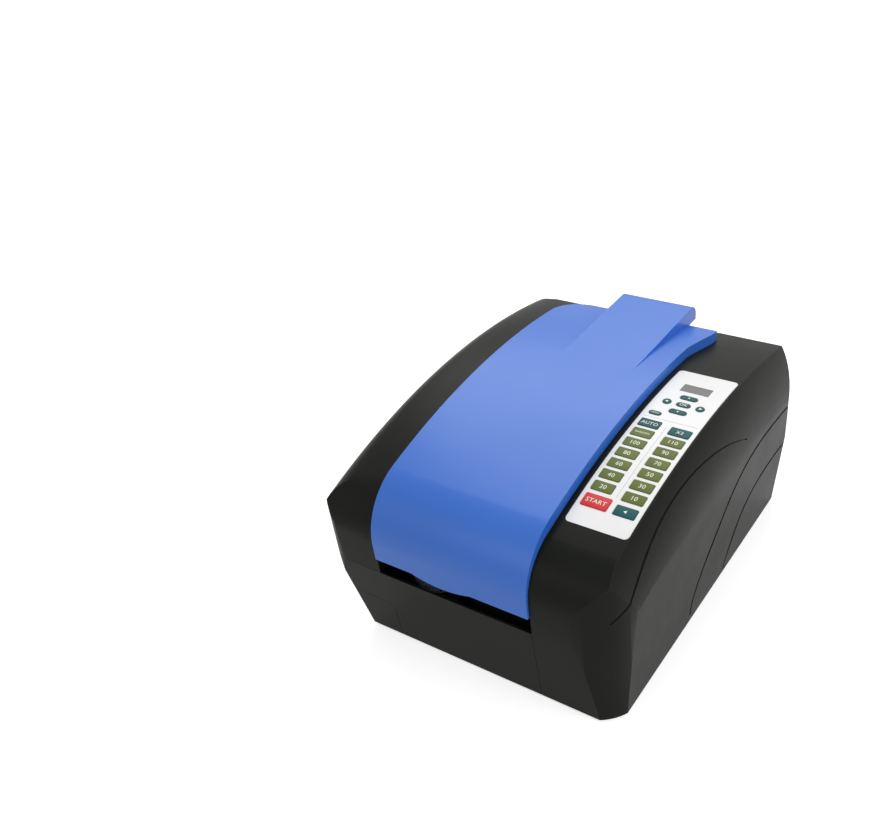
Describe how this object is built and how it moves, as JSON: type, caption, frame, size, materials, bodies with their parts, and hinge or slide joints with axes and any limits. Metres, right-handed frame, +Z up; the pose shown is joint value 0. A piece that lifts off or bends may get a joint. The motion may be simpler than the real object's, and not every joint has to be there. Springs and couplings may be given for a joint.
{
  "type": "gummed tape dispenser",
  "caption": "Electric counter-top dispenser that feeds, cuts and wets gummed tape, with a hinged lid over the roll and a keypad on its crown.",
  "frame": {"origin": "middle of the underside, on the surface that the feet stand on", "axes": "+X towards the keypad side, +Y from the tape exit towards the lid's hinge, +Z up"},
  "size_m": [0.363, 0.455, 0.2435],
  "materials": {
    "black_housing": "satin moulded black",
    "blue_lid": "satin moulded blue",
    "rubber": "matt",
    "roller_rubber": "ground rubber",
    "bright_steel": "ground",
    "blade_steel": "ground",
    "zinc_steel": "zinc plated",
    "cast_plate": "painted",
    "motor_case": "painted",
    "brass": "cut",
    "white_plastic": "moulded",
    "dark_plastic": "moulded",
    "gear_plastic": "moulded",
    "bottle_plastic": "clear",
    "bristle": "bristle",
    "white_overlay": "printed film",
    "olive_key": "embossed film",
    "teal_key": "embossed film",
    "red_key": "embossed film",
    "display": "clear window",
    "circuit": "board"
  },
  "bodies": {
    "chassis": {"base_pan": "black_housing", "rubber_feet": "rubber", "left_cover": "black_housing", "right_cover": "black_housing", "front_panel": "black_housing", "rear_panel": "black_housing", "lid_hinge_pin": "bright_steel", "hinge_bracket": "zinc_steel", "left_frame_plate": "zinc_steel", "right_frame_plate": "zinc_steel", "tie_rods": "bright_steel", "cradle_shafts": "bright_steel", "feed_motor": "motor_case", "fixed_blade": "blade_steel", "cutter_solenoid": "motor_case", "water_tank": "dark_plastic", "water_brushes": "bristle", "keypad_overlay": "white_overlay", "keypad_circuit": "circuit", "display_window": "display", "control_board": "circuit", "power_supply": "zinc_steel", "power_socket": "dark_plastic", "cover_screws": "zinc_steel"},
    "lid": {"lid": "blue_lid"},
    "front_cradle_roller": {"front_cradle_roller": "white_plastic"},
    "rear_cradle_roller": {"rear_cradle_roller": "white_plastic"},
    "left_roll_guide": {"left_roll_guide": "dark_plastic"},
    "right_roll_guide": {"right_roll_guide": "dark_plastic"},
    "feed_roller": {"feed_roller": "bright_steel", "feed_gear": "gear_plastic"},
    "motor_pinion": {"motor_pinion": "brass"},
    "pressure_roller": {"pressure_roller": "roller_rubber"},
    "moving_blade": {"moving_blade": "blade_steel"},
    "water_bottle": {"water_bottle": "bottle_plastic", "bottle_cap": "red_key"},
    "weight_plate": {"weight_plate": "cast_plate"},
    "power_rocker": {"power_rocker": "red_key"},
    "key_20": {"key_20": "olive_key"},
    "key_40": {"key_40": "olive_key"},
    "key_60": {"key_60": "olive_key"},
    "key_80": {"key_80": "olive_key"},
    "key_100": {"key_100": "olive_key"},
    "key_random": {"key_random": "olive_key"},
    "key_auto": {"key_auto": "olive_key"},
    "key_10": {"key_10": "olive_key"},
    "key_30": {"key_30": "olive_key"},
    "key_50": {"key_50": "olive_key"},
    "key_70": {"key_70": "olive_key"},
    "key_90": {"key_90": "olive_key"},
    "key_110": {"key_110": "olive_key"},
    "key_x2": {"key_x2": "olive_key"},
    "key_start": {"key_start": "red_key"},
    "key_feed": {"key_feed": "teal_key"},
    "key_up": {"key_up": "teal_key"},
    "key_ok": {"key_ok": "teal_key"},
    "key_down": {"key_down": "teal_key"},
    "key_left": {"key_left": "teal_key"},
    "key_right": {"key_right": "teal_key"},
    "key_menu": {"key_menu": "teal_key"}
  },
  "joints": [
    {"name": "lid_hinge", "type": "hinge", "parent": "chassis", "child": "lid", "pos_m": [0.0135, 0.2055, 0.214], "axis": [-1, 0, 0], "range_deg": [0, 95]},
    {"name": "front_roller_spin", "type": "hinge", "parent": "chassis", "child": "front_cradle_roller", "pos_m": [0.029, 0.0415, 0.022], "axis": [1, 0, 0], "continuous": true},
    {"name": "rear_roller_spin", "type": "hinge", "parent": "chassis", "child": "rear_cradle_roller", "pos_m": [0.029, 0.1455, 0.022], "axis": [1, 0, 0], "continuous": true},
    {"name": "left_guide_slide", "type": "slide", "parent": "chassis", "child": "left_roll_guide", "axis": [1, 0, 0], "range_m": [0, 0.012]},
    {"name": "right_guide_slide", "type": "slide", "parent": "chassis", "child": "right_roll_guide", "axis": [1, 0, 0], "range_m": [-0.012, 0]},
    {"name": "feed_spin", "type": "hinge", "parent": "chassis", "child": "feed_roller", "pos_m": [0.029, -0.0615, 0.1], "axis": [1, 0, 0], "continuous": true},
    {"name": "pinion_spin", "type": "hinge", "parent": "chassis", "child": "motor_pinion", "pos_m": [0.0895, -0.0615, 0.065], "axis": [1, 0, 0], "continuous": true},
    {"name": "pressure_spin", "type": "hinge", "parent": "chassis", "child": "pressure_roller", "pos_m": [0.029, -0.0615, 0.1244], "axis": [1, 0, 0], "continuous": true},
    {"name": "blade_slide", "type": "slide", "parent": "chassis", "child": "moving_blade", "axis": [0, 0, 1], "range_m": [0, 0.008], "stiffness_N_per_m": 250, "springref_m": -0.004},
    {"name": "bottle_lift", "type": "slide", "parent": "chassis", "child": "water_bottle", "axis": [0, 0, 1], "range_m": [0, 0.012]},
    {"name": "weight_plate_hinge", "type": "hinge", "parent": "chassis", "child": "weight_plate", "pos_m": [0.029, -0.1235, 0.13], "axis": [-1, 0, 0], "range_deg": [0, 35]},
    {"name": "rocker_tilt", "type": "hinge", "parent": "chassis", "child": "power_rocker", "pos_m": [0.0505, 0.2088, 0.05432], "axis": [1, 0, 0], "range_deg": [-16, 0]},
    {"name": "key_20_press", "type": "slide", "parent": "chassis", "child": "key_20", "axis": [0, 0.1741, -0.9847], "range_m": [0, 0.0004], "stiffness_N_per_m": 2500},
    {"name": "key_40_press", "type": "slide", "parent": "chassis", "child": "key_40", "axis": [0, 0.1533, -0.9882], "range_m": [0, 0.0004], "stiffness_N_per_m": 2500},
    {"name": "key_60_press", "type": "slide", "parent": "chassis", "child": "key_60", "axis": [0, 0.1324, -0.9912], "range_m": [0, 0.0004], "stiffness_N_per_m": 2500},
    {"name": "key_80_press", "type": "slide", "parent": "chassis", "child": "key_80", "axis": [0, 0.1116, -0.9938], "range_m": [0, 0.0004], "stiffness_N_per_m": 2500},
    {"name": "key_100_press", "type": "slide", "parent": "chassis", "child": "key_100", "axis": [0, 0.0907, -0.9959], "range_m": [0, 0.0004], "stiffness_N_per_m": 2500},
    {"name": "key_random_press", "type": "slide", "parent": "chassis", "child": "key_random", "axis": [0, 0.0699, -0.9976], "range_m": [0, 0.0004], "stiffness_N_per_m": 2500},
    {"name": "key_auto_press", "type": "slide", "parent": "chassis", "child": "key_auto", "axis": [0, 0.049, -0.9988], "range_m": [0, 0.0004], "stiffness_N_per_m": 2500},
    {"name": "key_10_press", "type": "slide", "parent": "chassis", "child": "key_10", "axis": [0, 0.1774, -0.9841], "range_m": [0, 0.0004], "stiffness_N_per_m": 2500},
    {"name": "key_30_press", "type": "slide", "parent": "chassis", "child": "key_30", "axis": [0, 0.1566, -0.9877], "range_m": [0, 0.0004], "stiffness_N_per_m": 2500},
    {"name": "key_50_press", "type": "slide", "parent": "chassis", "child": "key_50", "axis": [0, 0.1357, -0.9907], "range_m": [0, 0.0004], "stiffness_N_per_m": 2500},
    {"name": "key_70_press", "type": "slide", "parent": "chassis", "child": "key_70", "axis": [0, 0.1149, -0.9934], "range_m": [0, 0.0004], "stiffness_N_per_m": 2500},
    {"name": "key_90_press", "type": "slide", "parent": "chassis", "child": "key_90", "axis": [0, 0.094, -0.9956], "range_m": [0, 0.0004], "stiffness_N_per_m": 2500},
    {"name": "key_110_press", "type": "slide", "parent": "chassis", "child": "key_110", "axis": [0, 0.0732, -0.9973], "range_m": [0, 0.0004], "stiffness_N_per_m": 2500},
    {"name": "key_x2_press", "type": "slide", "parent": "chassis", "child": "key_x2", "axis": [0, 0.0523, -0.9986], "range_m": [0, 0.0004], "stiffness_N_per_m": 2500},
    {"name": "key_start_press", "type": "slide", "parent": "chassis", "child": "key_start", "axis": [0, 0.1979, -0.9802], "range_m": [0, 0.0004], "stiffness_N_per_m": 2500},
    {"name": "key_feed_press", "type": "slide", "parent": "chassis", "child": "key_feed", "axis": [0, 0.1999, -0.9798], "range_m": [0, 0.0004], "stiffness_N_per_m": 2500},
    {"name": "key_up_press", "type": "slide", "parent": "chassis", "child": "key_up", "axis": [0, -0.0213, -0.9998], "range_m": [0, 0.0004], "stiffness_N_per_m": 2500},
    {"name": "key_ok_press", "type": "slide", "parent": "chassis", "child": "key_ok", "axis": [0, -0.0043, -1], "range_m": [0, 0.0004], "stiffness_N_per_m": 2500},
    {"name": "key_down_press", "type": "slide", "parent": "chassis", "child": "key_down", "axis": [0, 0.0128, -0.9999], "range_m": [0, 0.0004], "stiffness_N_per_m": 2500},
    {"name": "key_left_press", "type": "slide", "parent": "chassis", "child": "key_left", "axis": [0, -0.0043, -1], "range_m": [0, 0.0004], "stiffness_N_per_m": 2500},
    {"name": "key_right_press", "type": "slide", "parent": "chassis", "child": "key_right", "axis": [0, -0.0043, -1], "range_m": [0, 0.0004], "stiffness_N_per_m": 2500},
    {"name": "key_menu_press", "type": "slide", "parent": "chassis", "child": "key_menu", "axis": [0, 0.0256, -0.9997], "range_m": [0, 0.0004], "stiffness_N_per_m": 2500}
  ],
  "couplings": [
    {"joint": "right_guide_slide", "follows": "left_guide_slide", "ratio": -1},
    {"joint": "pinion_spin", "follows": "feed_spin", "ratio": -2.5},
    {"joint": "pressure_spin", "follows": "feed_spin", "ratio": -1}
  ]
}
